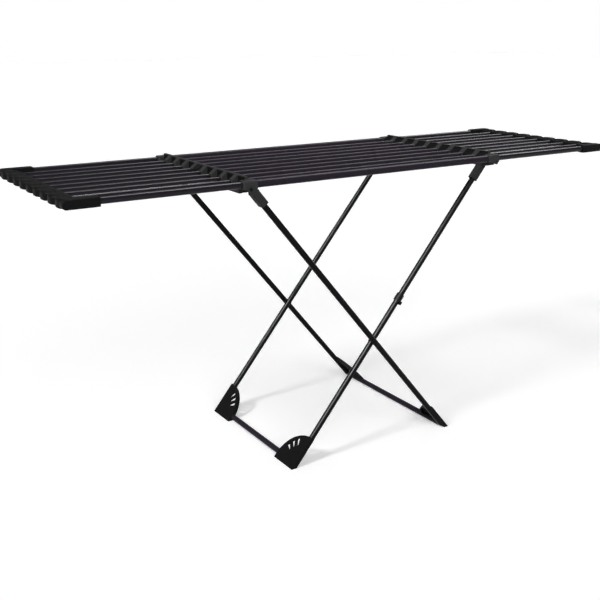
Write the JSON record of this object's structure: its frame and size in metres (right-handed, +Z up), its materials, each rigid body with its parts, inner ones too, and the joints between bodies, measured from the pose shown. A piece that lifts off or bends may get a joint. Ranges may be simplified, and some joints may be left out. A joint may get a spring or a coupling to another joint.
{
  "type": "clothes airer",
  "caption": "Floor-standing black clothes airer with crossed folding legs and two pull-out wings of round bars.",
  "frame": {"origin": "on the floor, midway between the two crossed leg frames and midway along the bars", "axes": "X along the bars, Y from the near side to the far side, Z up"},
  "size_m": [2.024, 0.61, 0.962],
  "materials": {
    "bar_paint": "satin",
    "leg_paint": "gloss",
    "moulding_plastic": "fine grain",
    "trim_plastic": "smooth",
    "pin_steel": "satin"
  },
  "bodies": {
    "top_frame": {"centre_rail_near": "bar_paint", "centre_rail_far": "bar_paint", "centre_rod_1": "bar_paint", "centre_rod_2": "bar_paint", "centre_rod_3": "bar_paint", "centre_rod_4": "bar_paint", "centre_rod_5": "bar_paint", "centre_rod_6": "bar_paint", "centre_rod_7": "bar_paint", "centre_rod_8": "bar_paint", "left_crossbar": "moulding_plastic", "right_crossbar": "moulding_plastic", "left_crossbar_cap": "trim_plastic", "right_crossbar_cap": "trim_plastic", "hinge_pins": "pin_steel", "hook_pins": "pin_steel"},
    "left_wing": {"left_wing_rail_near": "bar_paint", "left_wing_rail_far": "bar_paint", "left_wing_rod_1": "bar_paint", "left_wing_rod_2": "bar_paint", "left_wing_rod_3": "bar_paint", "left_wing_rod_4": "bar_paint", "left_wing_rod_5": "bar_paint", "left_wing_rod_6": "bar_paint", "left_wing_rod_7": "bar_paint", "left_wing_rod_8": "bar_paint", "left_wing_end_bar": "moulding_plastic", "left_wing_glide_plugs": "trim_plastic"},
    "right_wing": {"right_wing_rail_near": "bar_paint", "right_wing_rail_far": "bar_paint", "right_wing_rod_1": "bar_paint", "right_wing_rod_2": "bar_paint", "right_wing_rod_3": "bar_paint", "right_wing_rod_4": "bar_paint", "right_wing_rod_5": "bar_paint", "right_wing_rod_6": "bar_paint", "right_wing_rod_7": "bar_paint", "right_wing_rod_8": "bar_paint", "right_wing_end_bar": "moulding_plastic", "right_wing_glide_plugs": "trim_plastic"},
    "outer_leg": {"outer_leg_near": "leg_paint", "outer_leg_far": "leg_paint", "outer_cross_tube": "leg_paint", "outer_foot_near": "moulding_plastic", "outer_foot_far": "moulding_plastic", "outer_socket_near": "moulding_plastic", "outer_socket_far": "moulding_plastic", "scissor_rivets": "pin_steel", "scissor_spacers": "trim_plastic"},
    "inner_leg": {"inner_leg_near": "leg_paint", "inner_leg_far": "leg_paint", "inner_cross_tube": "leg_paint", "inner_foot_near": "moulding_plastic", "inner_foot_far": "moulding_plastic", "inner_socket_near": "moulding_plastic", "inner_socket_far": "moulding_plastic", "folding_clip": "trim_plastic"}
  },
  "joints": [
    {"name": "left_wing_slide", "type": "slide", "parent": "top_frame", "child": "left_wing", "axis": [1, 0, 0], "range_m": [0, 0.4]},
    {"name": "right_wing_slide", "type": "slide", "parent": "top_frame", "child": "right_wing", "axis": [-1, 0, 0], "range_m": [0, 0.4]},
    {"name": "leg_fold", "type": "hinge", "parent": "top_frame", "child": "outer_leg", "pos_m": [-0.47, 0, 0.9274], "axis": [0, 1, 0], "range_deg": [0, 37]},
    {"name": "leg_scissor", "type": "hinge", "parent": "outer_leg", "child": "inner_leg", "pos_m": [0, 0, 0.36754], "axis": [0, -1, 0], "range_deg": [0, 74]}
  ],
  "couplings": [
    {"joint": "leg_scissor", "follows": "leg_fold", "ratio": 2}
  ]
}
